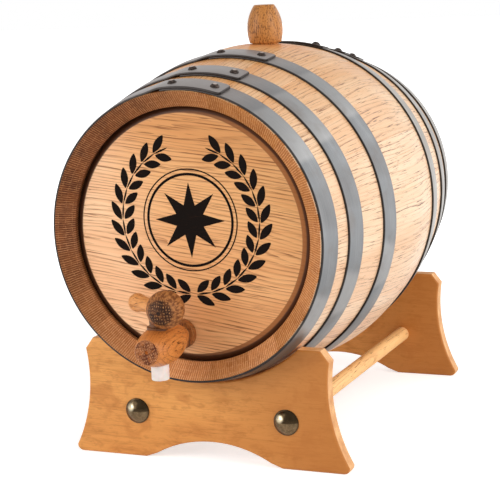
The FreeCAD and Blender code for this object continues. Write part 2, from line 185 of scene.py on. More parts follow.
def bored(piece, *cutters):
    """Cut shapes out of a piece with Boolean modifiers, and keep the result as its mesh."""
    tools = [as_object(piece.name + "_cutter", cutter) for cutter in cutters]
    for tool in tools:
        hole = piece.modifiers.new("hole", "BOOLEAN")
        hole.object = tool
        hole.operation = "DIFFERENCE"
        hole.solver = "EXACT"
    bpy.context.view_layer.update()
    seen = piece.evaluated_get(bpy.context.evaluated_depsgraph_get())
    mesh = bpy.data.meshes.new_from_object(seen)
    piece.modifiers.clear()
    piece.data = mesh
    for tool in tools:
        bpy.data.objects.remove(tool)
    return piece


def settled(piece, body, slot, *nodes):
    """Let a piece ride on its body and stand for its CAD nodes; the slot is not used."""
    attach(piece, body)
    if nodes:
        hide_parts(*nodes)
    print(piece.name, "rides on", body, "faces", len(piece.data.polygons))
    return piece


def rod_bm(radius, length, steps=48, taper=0.0):
    """Plain plug along Z from 0, used to bore holes."""
    return turned([(0, 0), (radius, 0), (radius + taper * length, length), (0, length)], steps)


# %% [markdown]
# ## Tools for finishes
# A finish is a small tree of nodes, and its places, values and colours travel along wires.  The classes
# below keep the words short: `noise` gives cloudy values, so many millimetres long across, along and
# deep, `band` turns a range of values into 0 to 1, and `mix` lays one colour over another by that share.

# %% Nodes in a maker's words
def tone(red, green, blue):
    """Linear colour from a colour as a screen shows it, 0 to 255."""
    parts = [value / 255 for value in (red, green, blue)]
    return [part / 12.92 if part <= 0.04045 else ((part + 0.055) / 1.055) ** 2.4 for part in parts] + [1.0]


class Wire:
    """A place, value or colour on its way through a finish."""

    def __init__(self, finish, socket):
        self.finish = finish
        self.socket = socket

    def math(self, operation, *values):
        """Arithmetic with other values."""
        return self.finish.wire("Math", dict(enumerate((self,) + values)), operation=operation)

    def __add__(self, other):
        return self.math("ADD", other)

    def __sub__(self, other):
        return self.math("SUBTRACT", other)

    def __mul__(self, other):
        return self.math("MULTIPLY", other)

    def parts(self):
        """The three numbers of a place."""
        return self.finish.wires("SeparateXYZ", {"Vector": self})

    def length(self):
        """Distance of a place from the origin."""
        return self.finish.wire("VectorMath", {0: self}, "Value", operation="LENGTH")

    def turn(self, x=0.0, y=0.0, z=0.0, move=(0, 0, 0)):
        """Place turned by degrees about the axes, and moved in millimetres."""
        angles = [math.radians(angle) for angle in (x, y, z)]
        shift = [length * mm for length in move]
        return self.finish.wire("Mapping", {"Vector": self, "Rotation": angles, "Location": shift})

    def noise(self, across, along, deep, detail=2.0, roughness=0.5, distortion=0.0):
        """Cloudy values about one half, so many millimetres long each way."""
        scale = [1 / (size * mm) for size in (across, along, deep)]
        place = self.finish.wire("Mapping", {"Vector": self, "Scale": scale})
        return self.finish.wire("TexNoise", {"Vector": place, "Scale": 1.0, "Detail": detail,
                                             "Roughness": roughness, "Distortion": distortion})

    def band(self, low, high, bottom=0.0, top=1.0):
        """Smooth step of a value from one level to another."""
        values = {"Value": self, "From Min": low, "From Max": high, "To Min": bottom, "To Max": top}
        return self.finish.wire("MapRange", values, interpolation_type="SMOOTHSTEP")

    def mix(self, first, second):
        """Second colour laid over the first by this share."""
        return self.finish.wire("Mix", {0: self, 6: first, 7: second}, 2, data_type="RGBA")


class Nodes:
    """The nodes of a material or of the world."""

    def __init__(self, owner):
        owner.use_nodes = True
        self.tree = owner.node_tree

    def put(self, node, values):
        """Set or link the inputs of a node; three numbers for a colour are a screen's, 0 to 255."""
        for socket, value in values.items():
            target = node.inputs[socket]
            if isinstance(value, Wire):
                self.tree.links.new(value.socket, target)
            else:
                target.default_value = tone(*value) if target.type == "RGBA" and len(value) == 3 else value

    def wires(self, kind, values=None, **settings):
        """All outputs of a new node with its settings and inputs."""
        node = self.tree.nodes.new("ShaderNode" + kind)
        for setting, value in settings.items():
            setattr(node, setting, value)
        self.put(node, values or {})
        return [Wire(self, socket) for socket in node.outputs]

    def wire(self, kind, values=None, output=0, **settings):
        """One output of a new node, by its number or name."""
        wires = self.wires(kind, values, **settings)
        return next(wire for number, wire in enumerate(wires) if output in (number, wire.socket.name))


class Finish(Nodes):
    """One material and short words for its nodes."""

    def __init__(self, name, roughness=0.5, metallic=0.0, **shader):
        self.material = bpy.data.materials.new(name)
        super().__init__(self.material)
        self.shader = self.tree.nodes["Principled BSDF"]
        self.put(self.shader, {"Roughness": roughness, "Metallic": metallic})
        self.put(self.shader, {word.replace("_", " "): value for word, value in shader.items()})
        self.place = self.wire("TexCoord", output="Object")

    def uv(self, name):
        """Place on a UV map of the mesh."""
        return self.wire("UVMap", uv_map=name)

    def number(self, name):
        """Number that the mesh carries in an attribute."""
        return self.wire("Attribute", output="Fac", attribute_type="GEOMETRY", attribute_name=name)

    def tint(self, colour, saturation, value, hue=0.5):
        """Colour with its strength and brightness changed."""
        return self.wire("HueSaturation", {"Color": colour, "Hue": hue, "Saturation": saturation, "Value": value})

    def done(self, colour, height=None, depth=0.1, roughness=None):
        """Connect the finish to the shader: colour, relief in millimetres and roughness."""
        self.put(self.shader, {"Base Color": colour})
        if height is not None:
            bump = self.wire("Bump", {"Height": height, "Distance": depth * mm, "Strength": 1.0})
            self.put(self.shader, {"Normal": bump})
        if roughness is not None:
            self.put(self.shader, {"Roughness": roughness})
        return self.material


def layered(colour, *coats):
    """Coats laid over a colour one after another, each by its own share."""
    for share, coat in coats:
        colour = share.mix(colour, coat)
    return colour


# %% [markdown]
# ## Oak
# Oak shows three things at once: growth rings that wander along the board, fine fibres, and short dark
# pores that crowd along the rings.  The rings are counted across the board in millimetres, and a slow
# noise bends the count, which draws long arches.  Each ring darkens slowly and ends sharply.  Fibres and
# pores are noise stretched along the grain.  The coordinates run across, along and deep.

# %% Oak grain
def oak_grain(place, pale, warm, dark, ring=2.6, swing=7.0, line=0.75, pores=0.8, reach=110, dashes=9.0,
              thin=0.60, clear=0.30):
    """Colour and relief of planed oak."""
    base = place.noise(30, 140, 30).band(0.35, 0.68, 0.0, 0.7).mix(pale, warm)
    slow = place.noise(reach * 0.24, reach, 40, 1.5)
    uneven = place.noise(7, reach, 15, 1.0)
    count = place.parts()[0] * (1000 / ring) + (slow * swing + uneven * 3.0)
    late = count.math("FRACT").band(thin, 0.97)
    patch = place.noise(7, 60, 10, 1.0)
    fibre = place.noise(0.6, 26, 0.6, 3.0, 0.6)
    dash = place.noise(0.55, dashes, 0.55, 1.5)
    shade = late * (dash.band(0.34, 0.56, 0.35, 1.0) * patch.band(0.36, 0.56, clear, 1.0)) * line
    spot = (dash + (late * 0.06 + patch * 0.16)).band(0.71, 0.80, 0.0, pores)
    darkest = place.finish.tint(dark, 1.05, 0.55)
    colour = layered(base, (fibre.band(0.38, 0.66) * 0.45, warm), (shade, dark), (spot, darkest))
    return colour, fibre * 0.3 - (spot + shade)


# %% [markdown]
# ## Stave wood and its end grain
# Each stave is a board of its own, so each gets its own stretch of the pattern and its own tone.  The
# mesh carries a number for every stave in an attribute, and a UV map that runs across and along the
# curved board, so that the grain follows the bend.

# %% Finish of the staves
ray_step = 1.75
arc_step = 3.2


def board_place(finish):
    """Coordinates of a stave: across and along from the UV map, shifted by the stave's number."""
    chance = finish.wire("TexWhiteNoise", {"W": finish.number("board")}, "Color", noise_dimensions="1D")
    far = finish.wire("VectorMath", {0: chance, 1: (0.02, 0.9, 0.05)}, operation="MULTIPLY")
    place = finish.wire("VectorMath", {0: finish.uv("grain"), 1: far}, operation="ADD")
    return place, finish.wires("SeparateColor", {"Color": chance})


def stave_wood():
    """Satin varnished oak, pale honey, each stave in a tone of its own."""
    finish = Finish("stave_oak", 0.40, Specular_IOR_Level=0.25, Coat_Weight=0.06, Coat_Roughness=0.2)
    place, chances = board_place(finish)
    colour, relief = oak_grain(place, (242, 204, 166), (226, 164, 114), (146, 84, 48), ring=3.1, swing=3.6,
                               line=0.7, pores=0.9, dashes=12, thin=0.66)
    x, _, z = finish.place.parts()
    # Painted shade: the staves turn darker and warmer towards the top and the left.
    colour = (z - x * 0.5).band(0.10, 0.25, 0.0, 0.6).mix(colour, finish.tint(colour, 1.2, 0.92))
    # Painted light: the staves turn paler and less saturated towards the right, as if lit from that side.
    colour = x.band(0.02, 0.09, 0.0, 0.85).mix(colour, finish.tint(colour, 0.82, 1.02, 0.507))
    # Painted shade and reflection: a warm orange ring on the staves round the bung.
    from_bung = finish.place.turn(move=(-bung_x, -bung_y, -axis_height - bilge_radius)).length()
    colour = from_bung.band(0.012, 0.034, 0.5, 0.0).mix(colour, (232, 150, 84))
    colour = chances[1].band(0.0, 1.0).mix(colour, finish.tint(colour, 1.08, 0.92))
    return finish.done(colour, relief, 0.05, place.noise(5, 40, 5).band(0.3, 0.7, 0.34, 0.46))


def chime_wood():
    """End grain: reddish brown, with fine pale rays towards the axis, crossed by arcs of rings."""
    finish = Finish("chime_end_grain", 0.55, Specular_IOR_Level=0.2)
    place, chances = board_place(finish)
    around_rim, out, _ = finish.uv("grain").parts()
    x, _, z = finish.place.turn(move=(0, 0, -axis_height)).parts()
    shaded = (z * 0.35 - x * 0.7).band(-0.010, 0.065)
    pale = shaded.mix((208, 138, 82), (134, 76, 41))
    dark = shaded.mix((162, 96, 50), (80, 41, 21))
    bright = shaded.mix((246, 190, 136), (208, 146, 98))
    wander = place.noise(7, 5, 7, 1.0) * 0.5
    rays = (around_rim * (1000 / ray_step) + wander).math("FRACT")
    arcs = (out * (1000 / arc_step) + wander).math("FRACT")
    specks = place.noise(0.5, 2.4, 0.5)
    cells = place.noise(2.4, 0.6, 0.5)
    ray = rays.band(0.60, 0.80) * specks.band(0.42, 0.56, 0.3, 1.0)
    furrow = rays.band(0.14, 0.32, 1.0, 0.0) * cells.band(0.40, 0.56, 0.3, 1.0)
    arc = arcs.band(0.80, 0.92) * cells.band(0.44, 0.60, 0.0, 0.7)
    base = layered(
        place.noise(12, 8, 12, 3.0).band(0.3, 0.7, 0.1, 0.8).mix(pale, dark),
        (specks.band(0.50, 0.66, 0.0, 0.6), dark),
        (ray.math("MAXIMUM", arc) * 0.72, bright),
        (furrow * 0.85, dark))
    colour = chances[2].mix(base, finish.tint(base, 1.05, 0.78))
    # Painted shade: a dark brown band inside a radius of about 77 mm, on the chime's inner edge and the recess
    # below it.
    return finish.done(out.band(0.0768, 0.0777, 0.95, 0.0).mix(colour, (86, 47, 24)), specks, 0.12)


# %% [markdown]
# ## Staves
# A stave is a bent board, widest at the belly, whose joints point at the cask's axis.  Its lengthwise
# section is one closed face, which `spin` carries round by the stave's own width.  The long outer edges
# get a hair of a bevel: that is the fine line where two staves meet.  The wide stave on top carries the
# bung hole.

# %% Section of a stave
chime_radius = 87.0
bilge_radius = half_size("bung_stave").z + middle("bung_stave").z - axis_height
stave_curve = 1.42
stave_thickness = 11.5
chime_bevel = 9.0
head_recess = 11.5
head_bevel = 3.5
tongue = 4.5
croze_depth = 3.0
joint_ease = 0.28
tip_ease = 0.7
sawn_reach = chime_bevel + 6.0


def curve_height(place, end_place, end_radius, middle_radius):
    """Radius at a place along a curve that peaks in the middle of the cask."""
    return middle_radius - (middle_radius - end_radius) * abs(place / end_place) ** stave_curve


def back_radius(place):
    """Outside of the staves."""
    return curve_height(place, half_length, chime_radius, bilge_radius)


def hollow_radius(place):
    """Inside of the staves."""
    bevel_end = half_length - chime_bevel
    end_radius = back_radius(bevel_end) - stave_thickness
    return curve_height(place, bevel_end, end_radius, bilge_radius - stave_thickness)


tongue_front = half_length - head_recess - head_bevel
head_back = tongue_front - tongue
croze_radius = hollow_radius((tongue_front + head_back) / 2) + croze_depth


def stave_section():
    """Closed lengthwise section of a stave, in places along the cask and radii."""
    runs = 28
    places = [half_length * (1 - 2 * number / runs) for number in range(runs + 1)]
    back = [(place, back_radius(place)) for place in places]
    end = [
        (head_back - 0.1, hollow_radius(head_back)),
        (head_back - 0.1, croze_radius),
        (tongue_front + 0.1, croze_radius),
        (tongue_front + 0.1, hollow_radius(tongue_front)),
        (half_length - chime_bevel, hollow_radius(half_length - chime_bevel)),
    ]
    inner = [(place, hollow_radius(place)) for place in (-80, -50, -17, 17, 50, 80)]
    return back + [(-place, radius) for place, radius in reversed(end)] + inner + end


# %% The twenty staves
stave_oak, chime_oak = stave_wood(), chime_wood()
stave_widths = (1.15, 0.90, 1.05, 0.85, 1.05)
cycle_count = 4
stave_names = ["bung_stave"] + ["stave_{:02d}".format(number) for number in range(2, 21)]
bung_reach = 107.2
bung_hole_radius = 7.0
bung_hole_depth = 18.0
bung_taper = 0.075


def around(co):
    """Angle round the cask from the top and radius, in millimetres, of a point of a mesh."""
    x, z = co.x / mm, co.z / mm - axis_height
    return math.atan2(x, z), math.hypot(x, z)


def stave_bm(start, width, number):
    """One stave from its start angle and its width, in radians."""
    bm = bmesh.new()
    verts = [bm.verts.new((0, place * mm, radius * mm)) for place, radius in stave_section()]
    face = bm.faces.new(verts)
    bmesh.ops.rotate(bm, verts=verts, cent=(0, 0, 0), matrix=Matrix.Rotation(start, 3, "Y"))
    bmesh.ops.spin(bm, geom=[face] + face.verts[:] + face.edges[:], cent=(0, 0, 0), axis=(0, 1, 0),
                   angle=width, steps=6)
    bmesh.ops.recalc_face_normals(bm, faces=bm.faces)
    placed(bm, 0, cask_middle, axis_height)
    joints, tips = [], []
    for edge in bm.edges:
        (first, second), radii = zip(*[around(vert.co) for vert in edge.verts])
        places = [abs(vert.co.y / mm - cask_middle) for vert in edge.verts]
        outside = all(radius > back_radius(min(place, half_length)) - 0.05
                      for radius, place in zip(radii, places))
        lengthwise = abs(math.sin(first - second)) < 1e-4
        if lengthwise and outside and edge.is_manifold and edge.calc_face_angle(0) > 1.0:
            joints.append(edge)
        if min(places) > half_length - 0.01:
            tips.append(edge)
    rounded(bm, tips, tip_ease, 2)
    rounded(bm, [edge for edge in joints if edge.is_valid], joint_ease, 1)
    grain = bm.loops.layers.uv.new("grain")
    board = bm.verts.layers.float.new("board")
    centre = start + width / 2
    for vert in bm.verts:
        vert[board] = number + 1.0
    for face in bm.faces:
        spot = face.calc_center_median()
        place = abs(spot.y / mm - cask_middle)
        below = around(spot)[1] < back_radius(min(place, half_length)) - 0.07
        cut_end = place > half_length - tip_ease - 0.02 or (place > half_length - sawn_reach and below)
        face.material_index = int(cut_end)
        for loop in face.loops:
            angle, radius = around(loop.vert.co)
            swing = (angle - centre + math.pi) % math.tau - math.pi
            along = radius * mm if cut_end else loop.vert.co.y
            loop[grain].uv = (swing * bilge_radius * mm, along)
    return eased(bm)


def make_staves():
    """All staves; the first is centred under the bung and bored for it."""
    share = math.tau / (sum(stave_widths) * cycle_count)
    start = math.asin(bung_x / bung_reach) - stave_widths[0] * share / 2
    for number, name in enumerate(stave_names):
        width = stave_widths[number % len(stave_widths)] * share
        piece = as_object("oak_" + name, stave_bm(start, width, number), (stave_oak, chime_oak))
        if number == 0:
            foot = axis_height + bilge_radius - bung_hole_depth
            bored(piece, placed(rod_bm(bung_hole_radius, 30, taper=bung_taper), bung_x, bung_y, foot))
        settled(piece, "cask", "oak_staves", name)
        start += width


make_staves()

# %% [markdown]
# ## Heads
# Each head is three boards glued edge to edge into a disc, with a soft bevel round the face and a tongue
# that sits in the staves' croze.  The disc is turned whole and then sawn with `bisect_plane`, which
# gives the same round edge as a cooper gets by joining the boards first.

# %% Finish of the heads
def head_wood():
    """Warm tan oak whose grain runs nearly level across the head."""
    finish = Finish("head_oak", 0.45, Specular_IOR_Level=0.2, Coat_Weight=0.05, Coat_Roughness=0.25)
    x, y, z = finish.place.turn(move=(0, 0, -axis_height)).parts()
    place = finish.wire("CombineXYZ", {"X": z, "Y": x, "Z": y}).turn(z=-7.0)
    # Painted light: the head's pale, warm and dark tones are lighter towards the left.
    left = (x + z * 0.3).band(-0.062, -0.004, 1.0, 0.0)
    pale = left.mix((242, 184, 126), (255, 212, 168))
    warm = left.mix((222, 152, 94), (244, 184, 136))
    dark = left.mix((140, 80, 42), (160, 94, 52))
    colour, relief = oak_grain(place, pale, warm, dark, ring=2.4, swing=10.0, line=0.64, pores=0.6, reach=150,
                               dashes=20, thin=0.45, clear=0.55)
    spread = (x.math("POWER", 2.0) + z.math("POWER", 2.0)).math("SQRT")
    # Painted shade: the rim band round the head's face is partly the bevel's darker end grain and partly painted
    # shade, darker and wider on the left.
    painted_shade_left = x.band(-0.02, 0.05, 1.0, 0.0)
    rim = painted_shade_left.mix((152, 90, 42), (58, 29, 14))
    colour = layered(
        colour,
        # Painted shadow: darker towards the top and the upper right, as if cast by the chime.
        ((z * 0.7 + x * 0.5).band(0.0, 0.055), finish.tint(colour, 1.04, 0.87)),
        ((spread - painted_shade_left * 0.0020).band(0.0714, 0.0720, 0.0, 0.9), rim),
        # Painted shade: a near black ring at the head's outermost edge, in the croze recess.
        (spread.band(0.0738, 0.0748, 0.0, 0.9), (62, 32, 16)))
    return finish.done(colour, relief, 0.06)


head_oak = head_wood()

# %% The boards of both heads
head_face_radius = 72.0
board_edge = 26.0
tail_radius = 7.6


def head_disc():
    """Whole head, turned about Z with its face at height 0 and its back below."""
    tongue_radius = croze_radius - 0.1
    bevel_foot = (hollow_radius(tongue_front) - 0.3, -head_bevel)
    crown = arc_run((head_face_radius - 1, 0), (head_face_radius + 3.4, -0.75), bevel_foot, 8)
    rings = [(0, 0), (24, 0), (48, 0)]
    back = [(tongue_radius, -head_bevel), (tongue_radius, -head_bevel - tongue), (0, -head_bevel - tongue)]
    return turned(rings + crown + back, 128)


def head_board(low, high, facing):
    """One board sawn from the disc, with its joints at two heights over the cask's axis."""
    bm = placed(head_disc(), 0, 0, 0, pitch=-90 * facing)
    for height, side in ((low, -1), (high, 1)):
        if height is None:
            continue
        cut = bmesh.ops.bisect_plane(bm, geom=bm.verts[:] + bm.edges[:] + bm.faces[:], dist=1e-7,
                                     plane_co=(0, 0, height * mm), plane_no=(0, 0, side), clear_outer=True)
        rim = [item for item in cut["geom_cut"] if isinstance(item, bmesh.types.BMEdge)]
        bmesh.ops.holes_fill(bm, edges=rim, sides=0)
    bmesh.ops.recalc_face_normals(bm, faces=bm.faces)
    return placed(bm, 0, cask_middle + facing * (half_length - head_recess), axis_height)


def make_heads():
    """Six boards, the front lower one bored for the tap's tail."""
    boards = (("lower", None, -board_edge), ("middle", -board_edge, board_edge), ("upper", board_edge, None))
    for end, facing in (("front", -1), ("rear", 1)):
        for name, low, high in boards:
            node = "{}_head_{}_board".format(end, name)
            piece = as_object("oak_" + node, eased(head_board(low, high, facing)), (head_oak,))
            if node == "front_head_lower_board":
                bored(piece, placed(rod_bm(tail_radius, 30), key_x, head_face + 20, tap_height, pitch=90))
            settled(piece, "cask", "oak_heads", node)


make_heads()

# %% [markdown]
# ## A burnt ornament
# The front head carries a plain burnt ornament: a wreath of leaves round a star.  A hot iron chars the
# wood a little below black, so the mark is a set of flat shapes a hair before the face, with a charred
# finish through which some grain still shows.

# %% Wreath and star
wreath_radius = 45.0
wreath_rise = 9.0
leaf_count = 13
leaf_start = 171.0
leaf_step = 12.4
leaf_gap = 4.4
mark_gap = 0.06


def charred():
    """Burnt wood."""
    finish = Finish("charred_oak", 0.9, Specular_IOR_Level=0.1)
    grain = finish.place.noise(7, 1, 0.7, 3.0, 0.6)
    return finish.done(grain.band(0.55, 0.75, 0.0, 0.6).mix((18, 11, 8), (48, 28, 16)), grain, 0.03)


def disc_shape(corners, reach, waist=1.0):
    """Flat disc with its corners turn about at two distances: a star when the waist is narrow."""
    bm = bmesh.new()
    made = bmesh.ops.create_circle(bm, cap_ends=True, segments=corners, radius=reach * mm)["verts"]
    for number, vert in enumerate(made):
        vert.co *= waist if number % 2 else 1.0
    return bm


def leaf_shape(length, width):
    """Pointed leaf along Y."""
    bm = disc_shape(24, length / 2)
    for vert in bm.verts:
        share = vert.co.y / (length / 2 * mm)
        vert.co.x *= width / length * (1 - 0.45 * share ** 2)
    return bm


def make_ornament():
    """All marks of the iron as one flat piece."""
    marks = []
    for side in (-1, 1):
        for step in range(leaf_count):
            turn = side * (leaf_start - leaf_step * step)
            outward = Vector((math.sin(math.radians(turn)), math.cos(math.radians(turn)), 0))
            for out, lean, length in ((1, 34, 12.6), (-1, -34, 11.0)):
                place = outward * (wreath_radius + out * leaf_gap)
                marks.append((leaf_shape(length, 5.0), place, side * (90 - lean) - turn))
            marks.append((leaf_shape(10, 1.2), outward * wreath_radius, 90 - turn))
    marks.append((disc_shape(16, 23, 0.42), Vector(), 0))
    for inner, outer in ((27.0, 28.6), (30.4, 31.2)):
        marks.append((turned([(inner, 0), (outer, 0)], 96), Vector(), 0))
    whole = bmesh.new()
    for mark, place, turn in marks:
        gather(whole, placed(mark, place.x, place.y + wreath_rise, 0, yaw=turn))
    placed(whole, 0, head_face - mark_gap, axis_height, pitch=90)
    settled(as_object("burnt_wreath", whole, (charred(),)), "cask", "oak_heads")


make_ornament()

# %% [markdown]
# ## Hoops
# A hoop is a flat strip of steel whose ends lap and are riveted.  It is made the way a smith makes it:
# a straight strip with eased edges, its outer corners clipped, then bent round the cask so that the last
# stretch climbs over the first.  The UV map is laid while the strip is still straight, so the brushed
# lines run along it.

# %% Finish of the steel
def hoop_steel():
    """Satin strip steel, slate grey, brushed lengthwise; painted reflections in patches, lighter rear hoops, a
    painted highlight at the laps, darker low down; dark oxide and painted shade along its edges.
    """
    finish = Finish("strip_steel", 0.45, 1.0)
    flat = finish.uv("grain")
    along, width, _ = flat.parts()
    _, deep, high = finish.place.parts()
    lines = flat.noise(30, 0.25, 1, 2.0, 0.6)
    clouds = finish.place.noise(22, 22, 22, 3.0, 0.6)
    spots = flat.noise(55, 300, 1, 0.0)
    rear = deep.band(0.03, 0.05)
    # Dark edges: dark oxide on the cut steel and painted shade; the far edge only on the rear hoops.
    edges = width.band(-0.0077, -0.0072, 0.9, 0.0).math("MAXIMUM", width.band(0.0072, 0.0077) * rear)
    colour = layered(
        lines.band(0.3, 0.7).mix((110, 112, 114), (130, 131, 132)),
        # Painted reflections: lighter and darker patches along the strip.
        (spots.band(0.55, 0.60, 0.0, 0.45), (172, 170, 168)),
        (spots.band(0.38, 0.44, 0.35, 0.0), (96, 93, 92)),
        (clouds.band(0.50, 0.75, 0.0, 0.35), (112, 98, 88)),
        # Painted reflection: the rear hoops are lighter.
        (rear * 0.4, (184, 176, 166)),
        # Painted highlight: lighter towards the laps, which sit on top.
        (along.band(0.035, 0.075, 0.6, 0.0), (158, 148, 143)),
        # Painted reflection: darker low down.
        (high.band(0.03, 0.085, 0.6, 0.0), (80, 75, 74)),
        # Dark oxide and painted shade: a dark line at the end of the upper strip, where it steps over the lap.
        (along.band(-0.0385, -0.0378, 0.8, 0.0), (40, 34, 32)),
        (edges, (38, 33, 31)))
    return finish.done(colour, lines, 0.01, clouds.band(0.3, 0.7, 0.40, 0.52))


steel = hoop_steel()

# %% The six hoops
hoop_width = 16.0
hoop_thickness = 1.2
hoop_seat = 0.1
strip_ease = 0.4
strip_steps = 400
hoop_edges = {"head": 1.2, "quarter": 29.8, "bilge": 72.2}
rivet_spacing = 27.0
lap_middle = 8.0
lap_reach = rivet_spacing / 2 + 5.0
lap_clip = 2.0
lap_ramp = 12.0


def seat_radius(near, far, place):
    """Inside of a hoop: straight between its two edges, a hair off the staves."""
    share = (place - near) / (far - near)
    return back_radius(near) + (back_radius(far) - back_radius(near)) * share + hoop_seat


def hoop_bm(near, far):
    """Strip bent round the cask; near and far are its edges along the cask."""
    centre, half = (near + far) / 2, (far - near) / 2
    girth = math.tau * back_radius(centre)
    bm = bmesh.new()
    corners = ((near, 0), (far, 0), (far, hoop_thickness), (near, hoop_thickness))
    verts = [bm.verts.new((0, place * mm, height * mm)) for place, height in corners]
    bm.faces.new(verts)
    rounded(bm, verts, strip_ease, 2, "VERTICES")
    face = bm.faces[:][0]
    step = (girth + 2 * lap_reach + lap_clip) / strip_steps * mm
    bmesh.ops.spin(bm, geom=[face] + face.verts[:] + face.edges[:], cent=(0, 0, 0), axis=(1, 0, 0),
                   dvec=(step, 0, 0), angle=0.0, steps=strip_steps)
    bmesh.ops.recalc_face_normals(bm, faces=bm.faces)
    grain = bm.loops.layers.uv.new("grain")
    for face in bm.faces:
        for loop in face.loops:
            run, place, _ = loop.vert.co
            loop[grain].uv = (min(run, girth * mm - run), place - centre * mm)
    for vert in bm.verts:
        run, place, height = [value / mm for value in vert.co]
        climb = min(1.0, max(0.0, (run - girth + lap_ramp) / lap_ramp))
        lift = (hoop_thickness + 0.05) * climb * climb * (3 - 2 * climb)
        clip = max(0.0, run - girth - 2 * lap_reach)
        place = centre + (place - centre) * (half - clip) / half
        angle = (run + lap_middle - lap_reach) / girth * math.tau
        radius = seat_radius(near, far, place) + height + lift
        vert.co = Vector((radius * math.sin(angle), place, radius * math.cos(angle))) * mm
    return placed(eased(bm), 0, cask_middle, axis_height)


def each_hoop():
    """Node name and edges of every hoop."""
    for kind, edge in hoop_edges.items():
        for end, side in (("front", -1), ("rear", 1)):
            ends = (side * (half_length - edge), side * (half_length - edge - hoop_width))
            yield end + "_" + kind + "_hoop", min(ends), max(ends)


for node, near, far in each_hoop():
    settled(as_object("steel_" + node, hoop_bm(near, far), (steel,)), "cask", "steel_hoops", node)

# %% [markdown]
# ## Rivets
# Two cold-set rivets hold each lap.  Their round heads are turned and set on the strip's slope, and the
# mesh carries each point's height in an attribute, so that the finish can paint a highlight on a head's top.

# %% Rivets
rivet_radius = 2.8
rivet_rise = 1.9


def rivet_iron():
    """Dark brown iron, with a painted highlight on top."""
    finish = Finish("rivet_iron", 0.35, 0.8)
    clouds = finish.place.noise(1.2, 1.2, 1.2)
    iron = clouds.band(0.35, 0.7).mix((40, 32, 28), (74, 62, 56))
    # Painted highlight: the top of each rivet head turns pale.
    top_highlight = finish.number("top_highlight").band(0.82, 0.97, 0.0, 0.8)
    return finish.done(top_highlight.mix(iron, (200, 184, 174)), clouds, 0.05)


def make_rivets():
    """All twelve rivet heads as one piece."""
    rim = [(0, 0), (rivet_radius, 0), (rivet_radius, 0.4)]
    profile = rim + arc_run((2.5, 0.7), (1.5, 1.6), (0, rivet_rise), 5)
    whole = bmesh.new()
    for _, near, far in each_hoop():
        place = (near + far) / 2
        slope = math.atan2(back_radius(far) - back_radius(near), far - near)
        radius = seat_radius(near, far, place) + 2 * hoop_thickness
        for side in (-1, 1):
            head = turned(profile, 24)
            # Height share that drives the painted highlight on top.
            top_highlight = head.verts.layers.float.new("top_highlight")
            for vert in head.verts:
                vert[top_highlight] = vert.co.z / (rivet_rise * mm)
            angle = (lap_middle + side * rivet_spacing / 2) / back_radius(place)
            head.transform(Matrix.Rotation(slope, 4, "X"))
            head.transform(Matrix.Rotation(angle, 4, "Y") @ Matrix.Translation((0, place * mm, radius * mm)))
            gather(whole, head)
    placed(eased(whole), 0, cask_middle, axis_height)
    settled(as_object("iron_rivets", whole, (rivet_iron(),)), "cask", "dark_rivets", "hoop_rivets")


make_rivets()

# %% [markdown]
# ## Turned wood
# The bung, the tap and its handle are turned from a browner wood with a speckled look.  Long grain runs
# along each piece's own axis, so the coordinates are turned to that axis first.  The sawn discs at their
# ends show end grain: pale flecks between dark pores, with a dark middle.

# %% Finishes of the turned pieces
def turned_wood(name, x, y, z, pale=(214, 136, 68), warm=(184, 104, 46), dark=(100, 48, 18), fleck=0.2):
    """Oiled brown wood whose grain runs along the axis reached by turning the coordinates."""
    finish = Finish(name, 0.36, Specular_IOR_Level=0.22)
    place = finish.place.turn(x, y, z)
    colour, relief = oak_grain(place, pale, warm, dark, ring=1.9, swing=6.0, line=0.5, pores=0.9, reach=60,
                               dashes=6)
    flecks = place.noise(0.8, 1.8, 0.8).band(0.52, 0.64, 0.0, fleck)
    return finish.done(flecks.mix(colour, dark), relief, 0.06)


def disc_wood(name, centre, x, y, z, pale, dark, fleck, rim=0.1):
    """End grain of a turned piece: pale flecks between dark pores, a dark middle and a browner rim."""
    finish = Finish(name, 0.5, Specular_IOR_Level=0.15)
    place = finish.place.turn(move=[-value for value in centre]).turn(x, y, z)
    across, _, up = place.parts()
    spread = finish.wire("CombineXYZ", {"X": across, "Y": up}).length()
    slow = place.noise(6, 6, 6, 1.0) * 1.5
    rows, columns = [(part * (1000 / step) + slow).math("FRACT").band(0.3, 0.7)
                     for part, step in ((across, 1.5), (up, 1.9))]
    specks = place.noise(0.55, 0.55, 0.55)
    streaks = place.noise(1.4, 4.0, 1.4, 3.0, 0.6)
    browner = streaks.band(0.36, 0.62).mix((186, 122, 68), (112, 62, 30))
    colour = layered(
        place.noise(4, 4, 4).band(0.35, 0.65).mix(pale, dark),
        (specks.band(0.48, 0.58, 0.0, 0.85), dark),
        (rows * columns * specks.band(0.40, 0.56, 0.9, 0.0), fleck),
        (spread.band(0.0008, 0.0016, 0.9, 0.0), (26, 12, 6)),
        (spread.band(rim * 0.85, rim * 1.05, 0.0, 0.85), browner))
    return finish.done(colour, specks, 0.12)


# %% [markdown]
# ## Bung
# The bung is a barrel-shaped knob on a tapered plug that is pushed into the hole.  Its profile is one
# wire from the plug's foot to the flat top.

# %% Bung
knob_height = 24.4
knob_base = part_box("bung")[1].z / mm - axis_height - knob_height
plug_radius = 8.6
plug_length = 19.0


